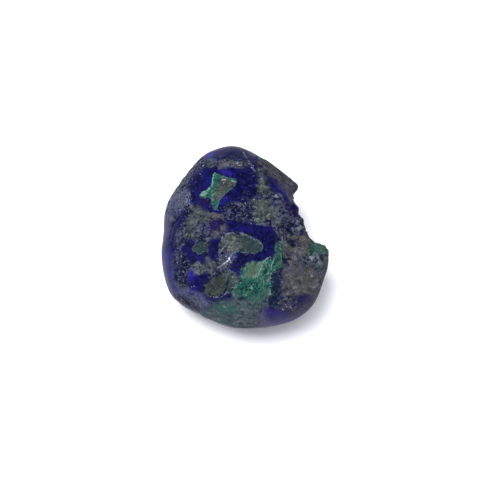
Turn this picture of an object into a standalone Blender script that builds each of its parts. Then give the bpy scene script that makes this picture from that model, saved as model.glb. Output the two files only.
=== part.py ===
"""A tumbled pebble of azurite and malachite in a grey matrix, with one side broken away.

Metres, +Z up. The pebble rests on its worn underside, on the plane z = 0, with the middle of its
box above the origin. Its broken side faces +X.
"""

import math
from typing import NamedTuple

import bmesh
import bpy
from mathutils import Euler, Vector, noise

MM = 0.001

# The whole pebble, as tumbled, before its side broke. The outline is seen from above,
# anticlockwise from the far end, and a smooth curve runs between its points.
OUTLINE_MM = [
    (-1.8, 17.4),
    (-6.4, 16.0),
    (-8.9, 12.6),
    (-11.4, 8.6),
    (-12.7, 5.2),
    (-12.7, 0.5),
    (-12.7, -3.8),
    (-12.1, -6.9),
    (-10.8, -9.7),
    (-6.9, -12.4),
    (-1.7, -14.8),
    (2.9, -14.9),
    (7.2, -13.4),
    (9.9, -11.4),
    (11.8, -7.6),
    (12.8, -3.6),
    (13.2, 0.6),
    (12.2, 5.6),
    (8.8, 10.2),
    (3.3, 14.2),
]
WAIST_HEIGHT = 6.2 * MM  # where the pebble is widest, above its lowest point
CROWN_HEIGHT = 6.8 * MM  # from the waist up to the worn top
PROFILE_POWER = 2.4  # 2 is an ellipse; more gives a flatter top and a steeper side
UNDULATION = 0.35 * MM  # how far the worn skin wanders from that form
UNDULATION_LENGTH = 9.0 * MM
SKIN_SUBDIVISIONS = 5  # of the icosphere that the pebble is shaped from

# Three worn flats of the matrix at the far right: the steep side, the facet above it, and the
# small one that blunts the tip between them and the break.
SIDE_POINT = Vector((5.9, 11.6, 6.0)) * MM
SIDE_NORMAL = Vector((0.65, 0.76, 0.05))
FACET_POINT = Vector((6.2, 11.5, 8.3)) * MM
FACET_NORMAL = Vector((0.50, 0.40, 0.77))
TIP_POINT = Vector((8.5, 7.9, 7.5)) * MM
TIP_NORMAL = Vector((0.90, 0.42, 0.10))

# The lumps of stone that broke away, each between an ellipsoid and a box.
LUMP_POWER = 4  # 2 is an ellipsoid; more gives the lump flatter faces
LUMP_SUBDIVISIONS = 5
CRAG_OCTAVES = 3


class Lump(NamedTuple):
    """Middle and half sizes in millimetres, turns in degrees, and the roughness of the break."""

    middle: tuple[float, float, float]
    half_size: tuple[float, float, float]
    turn: tuple[float, float, float]
    relief: float  # how far the crags stand out
    grain: float  # how far apart they are


BREAKS = {
    "side": Lump((12.5, 3.6, 7.0), (5.2, 5.2, 11.0), (0, 8, 14), 0.8, 3.2),
    "far side": Lump((12.1, 6.3, 7.0), (4.4, 5.2, 11.0), (0, 10, -20), 0.7, 2.6),
    "step": Lump((10.2, 2.4, 9.0), (3.2, 1.8, 9.0), (0, 8, 0), 0.3, 2.0),
    "lobe": Lump((11.7, -6.4, 12.7), (7.3, 8.4, 4.0), (7, 23, 4), 0.6, 3.6),
    "corner": Lump((14.0, -0.6, 7.0), (2.6, 4.4, 9.0), (0, 0, 58), 0.3, 2.0),
}

# The underside is worn flat enough to rest on.
SEAT_DEPTH = 0.5 * MM
BLOCK_SIZE = 60.0 * MM  # of the blocks that cut a flat, well over the pebble's size

CREASE_ANGLE = 40  # degrees between faces; an edge sharper than this isn't shaded smooth

COLOUR = (0.030, 0.034, 0.150, 1.0)
ROUGHNESS = 0.35


def clear_scene():
    for found in list(bpy.data.objects):
        bpy.data.objects.remove(found, do_unlink=True)


def new_collection(name):
    made = bpy.data.collections.new(name)
    bpy.context.scene.collection.children.link(made)
    return made


def smooth_between(before, start, end, after, share):
    """The value between start and end, on a smooth curve through all four."""
    return 0.5 * (
        2 * start
        + (end - before) * share
        + (2 * before - 5 * start + 4 * end - after) * share**2
        + (3 * start - before - 3 * end + after) * share**3
    )


def outline_reach(heading):
    """How far the whole pebble reaches from its middle, seen from above, in a direction."""
    headings = [math.atan2(y, x) for x, y in OUTLINE_MM]
    reaches = [math.hypot(x, y) * MM for x, y in OUTLINE_MM]
    count = len(headings)
    for i in range(count):
        span = (headings[(i + 1) % count] - headings[i]) % math.tau
        along = (heading - headings[i]) % math.tau
        if along <= span:
            near = [reaches[(i + step) % count] for step in (-1, 0, 1, 2)]
            return smooth_between(*near, along / span)
    raise ValueError("the outline has to run anticlockwise round its middle")


def pebble_point(direction):
    """Where the pebble's skin is, in a direction from the middle of a unit sphere."""
    power = 2 / PROFILE_POWER
    heading = math.atan2(direction.y, direction.x)
    reach = outline_reach(heading) * math.hypot(direction.x, direction.y) ** power
    height = CROWN_HEIGHT if direction.z > 0 else WAIST_HEIGHT
    rise = math.copysign(height * abs(direction.z) ** power, direction.z)
    point = Vector((reach * math.cos(heading), reach * math.sin(heading), WAIST_HEIGHT + rise))
    return point + direction * UNDULATION * noise.noise(point / UNDULATION_LENGTH)


def new_icosphere(name, subdivisions, place, collection):
    """A closed mesh object from an icosphere, each vertex moved to place(direction)."""
    shape = bmesh.new()
    bmesh.ops.create_icosphere(shape, subdivisions=subdivisions, radius=1.0)
    for vertex in shape.verts:
        vertex.co = place(vertex.co.normalized())
    mesh = bpy.data.meshes.new(name)
    shape.to_mesh(mesh)
    shape.free()
    made = bpy.data.objects.new(name, mesh)
    collection.objects.link(made)
    return made


def as_cutter(made):
    made.hide_render = True
    made.display_type = "WIRE"
    return made


def new_lump(name, lump, collection):
    """A craggy lump: the stone that a break took away."""

    def place(direction):
        length = sum(abs(part) ** LUMP_POWER for part in direction) ** (1 / LUMP_POWER)
        smooth = Vector(half * part / length for half, part in zip(lump.half_size, direction))
        crag = noise.turbulence(smooth / lump.grain, CRAG_OCTAVES, False)
        point = smooth + direction * lump.relief * crag
        point.rotate(Euler(map(math.radians, lump.turn)))
        return (Vector(lump.middle) + point) * MM

    return as_cutter(new_icosphere(name, LUMP_SUBDIVISIONS, place, collection))


def new_block(name, point, normal, collection):
    """A block whose near face passes through a point and looks back along the normal."""
    shape = bmesh.new()
    bmesh.ops.create_cube(shape, size=BLOCK_SIZE)
    bmesh.ops.translate(shape, verts=shape.verts, vec=(0, 0, BLOCK_SIZE / 2))
    mesh = bpy.data.meshes.new(name)
    shape.to_mesh(mesh)
    shape.free()
    made = bpy.data.objects.new(name, mesh)
    made.location = point
    made.rotation_euler = normal.to_track_quat("Z", "Y").to_euler()
    collection.objects.link(made)
    return as_cutter(made)


def cut(stone, cutter):
    modifier = stone.modifiers.new(f"cut {cutter.name}", "BOOLEAN")
    modifier.operation = "DIFFERENCE"
    modifier.solver = "EXACT"
    modifier.object = cutter


def stone_material():
    material = bpy.data.materials.new("azurite and malachite")
    material.use_nodes = True
    shader = material.node_tree.nodes["Principled BSDF"]
    shader.inputs["Base Color"].default_value = COLOUR
    shader.inputs["Roughness"].default_value = ROUGHNESS
    shader.inputs["Metallic"].default_value = 0.0
    return material


def settle(stone):
    """Makes the cuts part of the mesh, and stands it on z = 0 with its box centred."""
    bpy.context.view_layer.update()
    evaluated = stone.evaluated_get(bpy.context.evaluated_depsgraph_get())
    mesh = bpy.data.meshes.new_from_object(evaluated)
    stone.modifiers.clear()
    stone.data = mesh
    lows = [min(vertex.co[axis] for vertex in mesh.vertices) for axis in range(3)]
    highs = [max(vertex.co[axis] for vertex in mesh.vertices) for axis in range(3)]
    middle = Vector(((lows[0] + highs[0]) / 2, (lows[1] + highs[1]) / 2, lows[2]))
    for vertex in mesh.vertices:
        vertex.co -= middle
    mesh.shade_smooth()
    mesh.set_sharp_from_angle(angle=math.radians(CREASE_ANGLE))


def main():
    clear_scene()
    specimen = new_collection("azurite malachite specimen")
    cutters = new_collection("cutters")
    cutters.hide_render = True

    stone = new_icosphere("azurite_malachite_stone", SKIN_SUBDIVISIONS, pebble_point, specimen)
    stone.data.materials.append(stone_material())
    cut(stone, new_block("side", SIDE_POINT, SIDE_NORMAL, cutters))
    cut(stone, new_block("facet", FACET_POINT, FACET_NORMAL, cutters))
    cut(stone, new_block("tip", TIP_POINT, TIP_NORMAL, cutters))
    for name, lump in BREAKS.items():
        cut(stone, new_lump(f"{name} break", lump, cutters))
    cut(stone, new_block("seat", Vector((0, 0, SEAT_DEPTH)), Vector((0, 0, -1)), cutters))
    settle(stone)


main()
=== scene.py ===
"""A tumbled azurite and malachite pebble on a pale bench, in soft light from the upper left."""

import math
from typing import NamedTuple

import bmesh
import bpy
import numpy as np
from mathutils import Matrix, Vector, noise


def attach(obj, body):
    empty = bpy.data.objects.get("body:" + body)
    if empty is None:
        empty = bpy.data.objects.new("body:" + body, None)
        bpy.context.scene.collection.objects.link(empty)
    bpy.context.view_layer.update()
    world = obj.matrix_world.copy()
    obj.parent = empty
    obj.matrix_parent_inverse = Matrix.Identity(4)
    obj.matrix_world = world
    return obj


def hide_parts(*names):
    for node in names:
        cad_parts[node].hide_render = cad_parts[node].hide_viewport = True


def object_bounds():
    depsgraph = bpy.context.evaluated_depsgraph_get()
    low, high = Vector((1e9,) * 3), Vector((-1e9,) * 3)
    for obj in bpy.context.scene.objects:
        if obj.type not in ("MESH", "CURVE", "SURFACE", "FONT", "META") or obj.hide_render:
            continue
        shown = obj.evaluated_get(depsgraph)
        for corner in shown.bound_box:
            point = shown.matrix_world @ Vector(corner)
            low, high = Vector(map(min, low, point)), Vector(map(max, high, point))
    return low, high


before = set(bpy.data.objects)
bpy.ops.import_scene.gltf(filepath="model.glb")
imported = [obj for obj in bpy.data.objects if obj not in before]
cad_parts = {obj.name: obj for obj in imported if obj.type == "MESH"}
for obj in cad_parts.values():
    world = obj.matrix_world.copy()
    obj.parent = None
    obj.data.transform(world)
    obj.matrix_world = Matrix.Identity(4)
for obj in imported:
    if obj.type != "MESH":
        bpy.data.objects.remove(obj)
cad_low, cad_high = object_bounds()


# ---------------------------------------------------------------------------------------------
# Camera
# It stands in front of the stone and looks down on its broad face, as someone would who holds
# the stone on a bench at arm's length.

MM = 0.001
scene = bpy.context.scene

CAMERA_ELEVATION = math.radians(57)
CAMERA_DISTANCE = 120.0  # mm
CAMERA_AIM = np.array([0.70, -2.93, 5.15])  # mm
VIEW_WIDTH = 77.0  # mm across the picture, at the aim
SENSOR_WIDTH = 36.0  # mm
NEAREST_SEEN = 5.0  # mm
FARTHEST_SEEN = 5000.0  # mm

ACROSS = np.array([1.0, 0.0, 0.0])
UPWARD = np.array([0.0, math.sin(CAMERA_ELEVATION), math.cos(CAMERA_ELEVATION)])
TOWARDS = np.array([0.0, -math.cos(CAMERA_ELEVATION), math.sin(CAMERA_ELEVATION)])
EYE = CAMERA_AIM + CAMERA_DISTANCE * TOWARDS

camera_data = bpy.data.cameras.new("camera")
camera_data.sensor_width = SENSOR_WIDTH
camera_data.lens = SENSOR_WIDTH * CAMERA_DISTANCE / VIEW_WIDTH
camera_data.clip_start = NEAREST_SEEN * MM
camera_data.clip_end = FARTHEST_SEEN * MM
camera = bpy.data.objects.new("camera", camera_data)
camera.location = Vector(EYE) * MM
camera.rotation_euler = (math.pi / 2 - CAMERA_ELEVATION, 0, 0)
scene.collection.objects.link(camera)
scene.camera = camera
scene.view_settings.view_transform = "Standard"


# ---------------------------------------------------------------------------------------------
# Stone, its body
# The pebble is one solid. The tumbled form comes from the model, and here it is given a mesh
# fine enough to carry the real surface: worn skin, broken rock, pits and cracks.

MESH_PITCH = 0.165  # mm between neighbouring points of the surface
SMOOTHING_ROUNDS = 14
JOINED_WITHIN = 0.001  # mm, corners of the model's triangles that are one point


def as_modelled(node):
    """The CAD node's triangles joined into one closed mesh, in millimetres."""
    shape = bmesh.new()
    shape.from_mesh(node.data)
    bmesh.ops.scale(shape, vec=(1 / MM,) * 3, verts=shape.verts)
    bmesh.ops.remove_doubles(shape, verts=shape.verts, dist=JOINED_WITHIN)
    mesh = bpy.data.meshes.new("modelled stone")
    shape.to_mesh(mesh)
    shape.free()
    return mesh


def remeshed(mesh, pitch):
    """The same form in even quads, pitch apart."""
    holder = bpy.data.objects.new("remesh", mesh)
    scene.collection.objects.link(holder)
    modifier = holder.modifiers.new("even quads", "REMESH")
    modifier.mode = "VOXEL"
    modifier.voxel_size = pitch
    graph = bpy.context.evaluated_depsgraph_get()
    made = bpy.data.meshes.new_from_object(holder.evaluated_get(graph))
    bpy.data.objects.remove(holder)
    return made


def vectors_of(elements, name):
    """One vector of each of a mesh's elements, such as a vertex's place."""
    found = np.empty(len(elements) * 3, np.float32)
    elements.foreach_get(name, found)
    return found.reshape(-1, 3).astype(float)


def set_points(mesh, points):
    mesh.vertices.foreach_set("co", points.astype(np.float32).ravel())
    mesh.update()


def relaxed(values, mesh, rounds):
    """Values at the points, each moved to the mean of its neighbours, a number of times."""
    ends = np.empty(len(mesh.edges) * 2, np.int32)
    mesh.edges.foreach_get("vertices", ends)
    first, second = ends.reshape(-1, 2).T
    count = np.bincount(ends, minlength=len(values)).astype(float)
    for _ in range(rounds):
        columns = []
        for column in values.T:
            from_second = np.bincount(first, column[second], len(values))
            from_first = np.bincount(second, column[first], len(values))
            columns.append(from_second + from_first)
        values = np.stack(columns, -1) / count[:, None]
    return values


modelled = as_modelled(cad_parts["azurite_malachite_stone"])
stone_mesh = remeshed(modelled, MESH_PITCH)
stone_mesh.name = "azurite malachite stone"
worn = relaxed(vectors_of(stone_mesh.vertices, "co"), stone_mesh, SMOOTHING_ROUNDS)
set_points(stone_mesh, worn)
worn_normals = vectors_of(stone_mesh.vertex_normals, "vector")


# How far each point lies below the stone's convex hull: the break is deep, the skin isn't.
HULL_STEP = 2000  # points handled at a time
BREAK_DEPTHS = (0.12, 0.55)  # mm, where the skin ends and where all is broken

hull = bmesh.new()
for vertex in modelled.vertices:
    hull.verts.new(vertex.co)
bmesh.ops.convex_hull(hull, input=hull.verts)
bmesh.ops.recalc_face_normals(hull, faces=hull.faces)
hull_normals = np.array([face.normal for face in hull.faces])
hull_reach = np.array([face.normal.dot(face.verts[0].co) for face in hull.faces])
hull.free()
below_hull = np.concatenate(
    [
        (hull_reach - worn[start : start + HULL_STEP] @ hull_normals.T).min(1)
        for start in range(0, len(worn), HULL_STEP)
    ]
)


def smooth_step(value, low, high):
    """0 below low and 1 above high, smoothly."""
    share = np.clip((value - low) / (high - low), 0, 1)
    return share * share * (3 - 2 * share)


broken = smooth_step(below_hull, *BREAK_DEPTHS)


# ---------------------------------------------------------------------------------------------
# Stone, its minerals
# Blue azurite, green malachite and glassy quartz grew through a grey rock. On the broad face
# each patch is laid out one by one: millimetres right of and above the point the camera aims at.
# Where nothing is laid the stone is ore, a fine mixture of azurite and rock.


class Patch(NamedTuple):
    """One patch of a mineral, and how it looks there."""

    mineral: str
    tone: float  # below 0 is darker than usual, above 0 paler or brighter
    warmth: float  # from -1, towards green, to 1, towards brown or violet
    grit: float  # 0 is polished, 1 is craggy
    sunk: float  # mm below the worn skin, or above it if less than 0
    outline: list
    soft: float = 0.0  # mm over which it fades into what is round it, beyond a crisp edge


PATCHES = {
    "crest": Patch("azurite", -0.35, 0.3, 0.05, 0.0, [
        (-8.4, 14.4), (-7.2, 15.6), (-5.6, 16.6), (-2.8, 17.0), (0.0, 16.6), (1.9, 15.5),
        (1.9, 13.9), (1.2, 12.5), (0.0, 12.7), (-1.1, 14.4), (-4.4, 14.5), (-6.9, 13.8),
    ], soft=0.3),
    "bright end of the crest": Patch("azurite", 0.75, 0.0, 0.1, 0.0, [
        (-7.0, 15.3), (-6.2, 15.6), (-5.5, 15.2), (-5.8, 14.4), (-6.7, 14.1), (-7.2, 14.5),
    ], soft=0.4),
    "left flank": Patch("azurite", 0.45, 0.3, 0.05, 0.0, [
        (-14.4, 6.6), (-12.9, 6.0), (-12.6, 3.0), (-12.3, 0.6),
        (-11.9, -1.2), (-11.8, -4.7), (-10.6, -6.7), (-7.8, -8.3), (-5.9, -10.0), (-9.4, -10.6),
        (-12.8, -8.1), (-14.4, -4.7), (-14.8, 1.6),
    ], soft=0.7),
    "speckled rim": Patch("ore", -0.3, 0.0, 0.5, 0.0, [
        (-9.7, 12.8), (-8.3, 14.1), (-6.9, 14.1), (-6.7, 12.8), (-7.8, 11.6), (-8.8, 10.0),
        (-10.0, 9.4), (-10.9, 10.3),
    ]),
    "pale shoulder": Patch("ore", 0.6, 0.1, 0.55, 0.0, [
        (-13.1, 7.5), (-11.6, 8.8), (-9.7, 9.1), (-8.8, 7.5), (-9.1, 5.9), (-10.3, 4.7),
        (-11.6, 5.6), (-12.8, 5.9),
    ], soft=0.3),
    "mottled middle": Patch("rock", -0.1, -0.2, 0.5, 0.0, [
        (-9.4, 6.7), (-7.3, 6.7), (-4.7, 6.7), (-4.2, 5.8), (-5.0, 4.5), (-6.2, 4.2),
        (-6.6, 1.9), (-8.4, 1.6), (-10.2, 2.2), (-10.8, 3.8), (-10.0, 5.6),
    ], soft=0.3),
    "navy crescent": Patch("azurite", -0.1, 0.1, 0.1, 0.0, [
        (-9.5, 6.1), (-10.3, 5.8), (-11.4, 4.8), (-12.3, 3.4), (-12.7, 1.6), (-12.5, 0.0),
        (-11.7, 0.0), (-11.6, 1.6), (-11.1, 3.1), (-10.3, 4.4), (-9.4, 5.5),
    ], soft=0.25),
    "brown of the middle": Patch("rock", 0.2, 0.6, 0.4, 0.0, [
        (-6.4, 6.6), (-4.7, 6.7), (-4.4, 5.3), (-5.3, 4.4), (-6.4, 4.7),
    ]),
    "slate of the middle": Patch("ore", 0.1, 0.0, 0.5, 0.05, [
        (-7.8, 4.2), (-6.2, 4.4), (-6.1, 2.2), (-7.5, 1.6), (-8.1, 2.8),
    ], soft=0.2),
    "violet dot": Patch("azurite", -0.3, 0.8, 0.4, 0.0, [
        (-5.9, 4.4), (-4.8, 4.5), (-4.2, 3.8), (-4.8, 3.0), (-5.8, 3.1),
    ], soft=0.2),
    "blue under the lobe": Patch("azurite", 0.6, 0.4, 0.2, 0.0, [
        (4.1, -10.9), (4.8, -10.7), (5.3, -10.9), (4.7, -11.2),
    ]),
    "star's surround": Patch("azurite", -0.1, 0.0, 0.1, 0.0, [
        (-8.9, 11.4), (-7.8, 12.5), (-5.9, 12.8), (-3.0, 12.8), (-1.1, 12.7), (-0.6, 10.8),
        (-1.1, 8.4), (-2.5, 7.2), (-3.0, 5.8), (-4.7, 5.8), (-6.6, 6.1), (-8.0, 6.9),
        (-8.9, 7.5), (-9.2, 9.4),
    ], soft=0.1),
    "bright left of the star": Patch("azurite", 0.35, 0.0, 0.1, 0.0, [
        (-7.2, 11.6), (-6.2, 11.9), (-5.9, 10.6), (-6.2, 9.4), (-7.0, 9.4), (-7.5, 10.3),
    ], soft=0.2),
    "bright below the star": Patch("azurite", 0.5, 0.2, 0.1, 0.0, [
        (-4.4, 8.1), (-3.4, 8.4), (-3.1, 7.3), (-3.9, 6.7), (-4.5, 7.2),
    ], soft=0.2),
    "flecks by the star": Patch("azurite", 1.0, 0.4, 0.4, 0.0, [
        (-4.5, 12.3), (-3.4, 12.3), (-2.8, 11.9), (-3.0, 11.3), (-3.6, 11.6), (-4.4, 11.9),
    ], soft=0.15),
    "violet below the star": Patch("azurite", -0.1, 0.5, 0.2, 0.0, [
        (-8.0, 8.1), (-6.7, 8.0), (-6.2, 7.0), (-7.3, 6.6), (-8.1, 7.2),
    ], soft=0.35),
    "star": Patch("malachite", -0.35, 0.1, 0.0, 0.03, [
        (-5.5, 11.8), (-5.0, 11.7), (-4.3, 11.4), (-3.4, 11.1), (-2.2, 10.6), (-2.7, 9.6),
        (-4.0, 8.7), (-4.7, 7.8), (-5.0, 6.8), (-5.3, 6.3), (-5.8, 6.8), (-6.0, 7.9), (-6.7, 8.15),
        (-7.6, 8.2), (-7.1, 8.95), (-5.95, 9.7), (-5.7, 10.8),
    ]),
    "star's heart": Patch("quartz", -0.2, 0.4, 0.25, 0.06, [
        (-4.8, 11.35), (-4.2, 11.35), (-3.2, 11.0), (-2.3, 10.65), (-2.6, 9.75), (-3.7, 8.85),
        (-4.4, 8.1), (-4.8, 7.6), (-5.2, 7.5), (-5.5, 8.0), (-5.5, 8.7), (-5.1, 9.5), (-4.9, 10.5),
    ], soft=0.12),
    "pale crust": Patch("rock", 0.5, 0.5, 0.45, 0.05, [
        (-4.9, 13.2), (-4.1, 13.8), (-2.5, 13.6), (-1.3, 13.4), (-1.1, 12.5), (-2.8, 12.75),
        (-4.4, 12.5), (-5.0, 12.5),
    ], soft=0.15),
    "green by the crust": Patch("quartz", 0.0, -0.9, 0.5, 0.0, [
        (-6.4, 13.8), (-5.8, 13.8), (-5.6, 13.0), (-6.2, 12.8),
    ]),
    "pale seam": Patch("rock", -0.5, 0.0, 0.2, 0.0, [
        (-0.8, 15.2), (-0.3, 14.1), (0.3, 12.7), (0.1, 12.6), (-0.5, 13.9), (-1.0, 15.1),
    ]),
    "grey-green strip": Patch("rock", 0.0, -0.4, 0.4, 0.0, [
        (1.1, 15.3), (1.9, 15.2), (1.9, 12.7), (1.1, 12.5),
    ]),
    "facet": Patch("rock", -0.35, 0.25, 0.10, 0.0, [
        (1.9, 14.1), (3.1, 13.9), (5.2, 12.5), (7.2, 10.9), (8.0, 9.8), (7.0, 8.3), (5.9, 8.9),
        (4.8, 10.0), (3.6, 11.1), (2.5, 10.9), (1.9, 12.2),
    ], soft=0.15),
    "navy by the columns": Patch("azurite", -0.5, 0.1, 0.6, 0.0, [
        (-0.9, 12.3), (0.3, 12.4), (0.9, 11.4), (0.8, 9.8), (0.9, 8.6), (0.2, 7.7), (-0.9, 8.0),
        (-0.9, 10.2),
    ], soft=0.4),
    "columns": Patch("rock", -0.5, -0.35, 0.6, 0.1, [
        (1.2, 12.8), (2.3, 13.1), (3.0, 11.2), (3.0, 9.1), (2.2, 8.4), (1.2, 8.8), (0.9, 10.6),
    ], soft=0.2),
    "pale columns": Patch("rock", 0.2, -0.3, 0.7, 0.0, [
        (1.6, 11.7), (2.2, 11.7), (2.3, 9.4), (1.7, 9.2),
    ]),
    "pits": Patch("ore", -0.25, 0.0, 0.5, 0.05, [
        (-3.4, 7.2), (-0.9, 8.0), (0.6, 7.3), (1.1, 5.8), (1.9, 4.4), (0.3, 3.9), (-1.9, 4.4),
        (-3.8, 4.7), (-4.4, 5.9),
    ], soft=0.4),
    "olive patch": Patch("quartz", 0.0, 0.1, 0.5, 0.0, [
        (0.5, 7.7), (1.9, 8.0), (3.1, 7.5), (4.2, 6.9), (3.9, 5.5), (3.1, 4.5), (2.0, 4.8),
        (1.2, 5.9), (0.5, 6.6),
    ], soft=0.45),
    "green by the pits": Patch("quartz", -0.1, -0.4, 0.4, 0.0, [
        (0.6, 5.9), (1.4, 5.8), (2.2, 4.7), (1.7, 4.1), (0.8, 4.7),
    ], soft=0.3),
    "rough right side": Patch("ore", 0.55, 0.2, 0.7, 0.05, [
        (3.4, 7.8), (4.8, 8.1), (6.6, 8.0), (7.7, 6.7), (7.7, 5.3), (6.2, 4.4), (4.7, 4.4),
        (3.9, 5.6),
    ], soft=0.3),
    "white lump": Patch("rock", 1.2, 0.0, 0.8, -0.1, [
        (3.9, 8.8), (4.8, 8.9), (5.2, 8.4), (4.4, 8.1), (3.9, 8.3),
    ]),
    "slate right side": Patch("ore", 0.35, 0.3, 0.8, 0.1, [
        (4.1, 4.5), (5.9, 4.5), (7.7, 5.2), (8.3, 3.8), (7.8, 2.2), (6.2, 1.6), (4.7, 2.2),
        (3.9, 3.1),
    ], soft=0.3),
    "pale edge of the notch": Patch("rock", 0.3, -0.4, 0.8, 0.0, [
        (7.7, 4.5), (8.4, 4.2), (9.4, 2.8), (8.3, 2.2), (7.7, 3.1),
    ]),
    "pale column": Patch("rock", 0.4, 0.0, 0.6, 0.0, [
        (3.4, 4.2), (4.2, 4.2), (4.4, 1.6), (3.6, 1.9),
    ]),
    "eye's surround": Patch("azurite", -0.2, 0.1, 0.05, 0.0, [
        (-5.8, 1.6), (-4.7, 3.0), (-3.1, 4.4), (-1.4, 4.5), (0.2, 3.9), (1.9, 3.6), (3.3, 3.3),
        (4.7, 1.4), (4.1, 0.0), (3.4, -1.2), (1.9, -2.2), (0.2, -1.9), (-0.3, -3.1),
        (-1.6, -3.9), (-3.0, -3.1), (-2.2, -1.7), (-3.4, -1.1), (-4.8, -1.2), (-5.8, -1.4),
        (-6.4, -0.2),
    ], soft=0.1),
    "bright above the eye": Patch("azurite", 0.4, 0.0, 0.0, 0.0, [
        (-1.8, 3.8), (-0.3, 3.6), (0.2, 2.9), (-0.5, 2.5), (-1.6, 2.8),
    ], soft=0.3),
    "mottled rock by the eye": Patch("rock", 0.0, 0.3, 0.5, 0.0, [
        (-5.6, 2.5), (-5.0, 3.3), (-4.2, 4.2), (-3.6, 4.1), (-3.5, 3.1), (-3.8, 2.6), (-4.6, 1.8),
        (-5.3, 1.5), (-5.8, 1.8),
    ], soft=0.3),
    "eye": Patch("quartz", -0.3, -0.1, 0.1, 0.05, [
        (-4.8, 0.6), (-4.1, 1.9), (-3.3, 2.5), (-2.2, 2.7), (-0.5, 2.3), (0.8, 1.7), (1.7, 1.1),
        (1.9, 0.3), (1.1, -0.3), (-0.3, -0.5), (-2.2, -0.2), (-3.4, -0.6), (-4.5, -0.5),
    ]),
    "pale side of the eye": Patch("quartz", 0.3, 0.5, 0.4, 0.05, [
        (-4.6, 0.5), (-3.8, 1.9), (-2.6, 2.2), (-1.9, 1.0), (-2.4, -0.2), (-4.3, -0.5),
    ], soft=0.2),
    "green side of the eye": Patch("quartz", -0.8, -0.9, 0.1, 0.05, [
        (-0.9, 2.0), (0.8, 1.5), (1.7, 0.8), (1.6, 0.1), (0.3, -0.2), (-0.9, 0.4),
    ], soft=0.3),
    "sparkle under the eye": Patch("ore", 0.4, 0.0, 0.5, 0.0, [
        (-4.8, -0.3), (-3.1, -0.5), (-2.2, -0.3), (-1.9, -1.2), (-3.1, -1.9), (-4.4, -2.2),
        (-5.2, -1.4),
    ]),
    "blue of the left": Patch("azurite", 0.1, 0.3, 0.1, 0.0, [
        (-9.8, 1.1), (-8.8, 1.4), (-7.5, -0.3), (-6.9, -0.9), (-6.6, -1.9), (-7.8, -2.0),
        (-9.1, -1.9), (-10.0, -0.6), (-10.5, 0.3),
    ], soft=0.15),
    "glass of the left": Patch("quartz", -1.7, -1.0, 0.2, 0.0, [
        (-8.9, 0.2), (-8.2, 1.0), (-7.4, 1.5), (-6.7, 1.1), (-6.6, 0.2), (-7.2, -0.5),
        (-8.2, -0.4),
    ], soft=0.1),
    "dark oval": Patch("ore", -0.5, 0.0, 0.6, 0.1, [
        (-11.2, -1.6), (-10.3, -1.1), (-9.5, -2.5), (-9.4, -4.7), (-10.0, -5.3), (-10.9, -4.7),
        (-11.4, -3.1),
    ], soft=0.3),
    "green of the left": Patch("quartz", 0.8, -0.6, 0.2, 0.0, [
        (-8.4, -2.1), (-7.9, -1.8), (-7.4, -2.2), (-7.2, -3.0), (-7.5, -3.6), (-8.1, -3.7),
        (-8.5, -3.0),
    ], soft=0.15),
    "navy of the left": Patch("azurite", 0.1, 0.0, 0.2, 0.0, [
        (-9.4, -3.8), (-8.3, -3.8), (-6.9, -3.6), (-5.9, -4.2), (-6.2, -5.8), (-7.3, -6.6),
        (-8.8, -6.4), (-9.5, -5.2),
    ], soft=0.2),
    "bright of the left": Patch("azurite", 1.0, 0.0, 0.0, 0.0, [
        (-9.4, -3.4), (-9.0, -3.2), (-8.6, -3.8), (-8.8, -4.6), (-9.2, -4.4),
    ], soft=0.45),
    "grey below the ridge": Patch("rock", -0.2, 0.0, 0.3, 0.0, [
        (-6.7, -0.9), (-5.3, -1.6), (-3.6, -2.0), (-3.8, -3.1), (-5.3, -3.6), (-6.6, -3.8),
        (-6.9, -2.5),
    ], soft=0.2),
    "brown by the malachite": Patch("quartz", 0.1, -0.6, 0.4, 0.0, [
        (-3.7, -3.3), (-2.9, -3.3), (-2.0, -4.0), (-1.6, -5.0), (-2.0, -6.2), (-2.6, -7.2),
        (-3.4, -7.0), (-3.9, -6.2), (-3.6, -5.0), (-3.9, -3.9),
    ], soft=0.2),
    "lower blue": Patch("azurite", 0.2, 0.0, 0.1, 0.0, [
        (-6.9, -6.7), (-5.8, -7.3), (-4.5, -7.2), (-3.6, -6.6), (-2.8, -6.6), (-2.7, -7.5),
        (-3.3, -8.1), (-5.0, -8.3), (-6.4, -8.0), (-7.3, -7.3),
    ], soft=0.35),
    "lower glass": Patch("quartz", -1.4, 0.4, 0.5, 0.0, [
        (-6.9, -5.3), (-6.2, -4.5), (-5.3, -3.9), (-4.4, -3.6), (-3.8, -4.1), (-3.6, -5.3),
        (-3.6, -6.2), (-4.4, -6.9), (-5.8, -7.2), (-6.7, -6.7), (-7.0, -5.9),
    ], soft=0.12),
    # A painted sheen: paler lilac ore at the lower left.
    "painted sheen of the lower left": Patch("ore", 0.4, 0.4, 0.0, 0.0, [
        (-11.4, -5.6), (-9.8, -6.0), (-8.4, -6.3), (-7.0, -7.3), (-5.6, -8.6), (-6.4, -9.2),
        (-7.9, -8.6), (-9.6, -7.6), (-11.0, -6.8),
    ], soft=0.4),
    "lower left cavity": Patch("ore", 0.6, 0.3, 0.25, 0.08, [
        (-12.4, -7.2), (-11.2, -7.0), (-9.7, -6.9), (-8.1, -7.4), (-7.0, -8.2), (-6.9, -9.4),
        (-7.6, -10.4), (-9.0, -10.4), (-10.6, -9.5), (-11.8, -8.6),
    ], soft=0.3),
    "dark of the cavity": Patch("azurite", -0.6, 0.0, 0.7, 0.03, [
        (-11.7, -7.0), (-10.9, -7.1), (-9.9, -7.6), (-8.9, -8.3), (-8.1, -8.9), (-7.4, -9.5),
        (-7.9, -9.5), (-8.8, -9.0), (-9.8, -8.5), (-10.7, -8.0), (-11.5, -7.5),
    ], soft=0.2),
    # Grey-green rock where the stone rolls under; its paleness is partly a painted sheen.
    "green side": Patch("rock", 0.3, -1.0, 0.08, 0.0, [
        (-6.2, -8.7), (-4.6, -8.0), (-2.8, -7.6), (-1.0, -7.8), (0.6, -8.0), (2.4, -7.9),
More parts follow.
